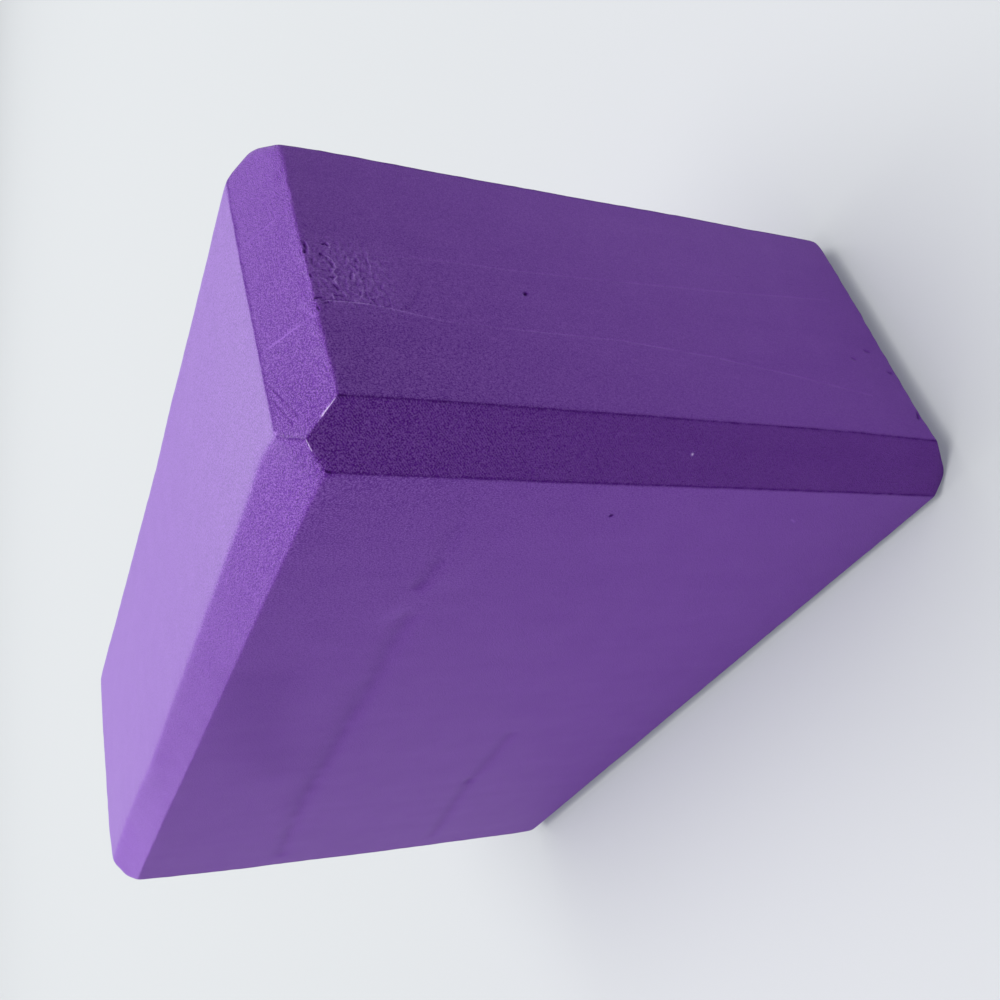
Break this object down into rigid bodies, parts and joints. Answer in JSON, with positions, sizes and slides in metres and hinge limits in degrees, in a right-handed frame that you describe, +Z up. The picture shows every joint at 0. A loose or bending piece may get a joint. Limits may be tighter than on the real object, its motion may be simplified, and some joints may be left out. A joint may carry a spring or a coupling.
{
  "type": "yoga block",
  "caption": "Purple foam yoga block with bevelled edges, laminated from foam sheets, standing on a long narrow face.",
  "frame": {"origin": "centre of the long narrow face that the block stands on", "axes": "+X along the block's length towards the end nearest the viewer, +Y through its thickness from the front face to the rear face, +Z up"},
  "size_m": [0.228, 0.08, 0.152],
  "materials": {
    "foam": "matte closed-cell foam",
    "glue": "cured contact glue"
  },
  "bodies": {
    "root": {"front_foam_sheet": "foam", "middle_foam_sheet": "foam", "rear_foam_sheet": "foam", "front_glue_film": "glue", "rear_glue_film": "glue"}
  },
  "joints": []
}
